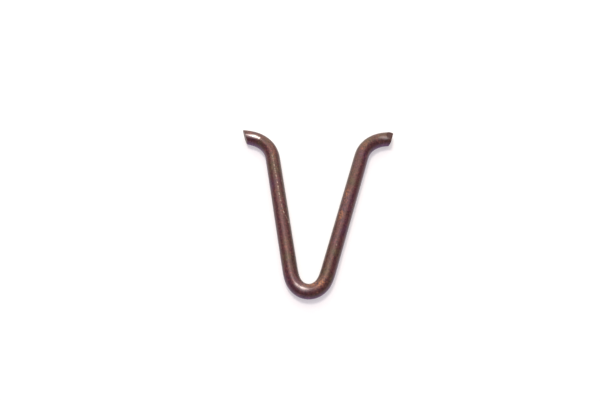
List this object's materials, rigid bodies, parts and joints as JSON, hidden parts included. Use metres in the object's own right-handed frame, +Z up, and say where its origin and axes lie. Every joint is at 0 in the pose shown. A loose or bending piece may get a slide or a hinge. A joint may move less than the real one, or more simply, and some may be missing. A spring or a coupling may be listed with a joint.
{
  "type": "wire rail clip",
  "caption": "V-shaped spring clip bent from one length of round wire, with a rounded bow and out-turned hooks at its sheared ends.",
  "frame": {"origin": "on the surface that the clip lies on, under the middle of the bow's centreline", "axes": "+Y from the bow towards the open end of the V, midway between the legs; +Z up from the surface that the clip lies on; +X towards the right arm"},
  "size_m": [0.0343, 0.0427, 0.0032],
  "materials": {
    "wire": "thin brown oxide over drawn steel wire, satin, worn to metal in spots"
  },
  "bodies": {
    "bow": {"bow": "wire"},
    "left_arm": {"left_arm": "wire"},
    "right_arm": {"right_arm": "wire"}
  },
  "joints": [
    {"name": "left_arm_flex", "type": "hinge", "parent": "bow", "child": "left_arm", "pos_m": [-0.00437, 0.00678, 0.0016], "axis": [0, 0, -1], "range_deg": [-3.5, 3.5], "stiffness_Nm_per_rad": 58},
    {"name": "right_arm_flex", "type": "hinge", "parent": "bow", "child": "right_arm", "pos_m": [0.00437, 0.00678, 0.0016], "axis": [0, 0, 1], "range_deg": [-3.5, 3.5], "stiffness_Nm_per_rad": 58}
  ]
}
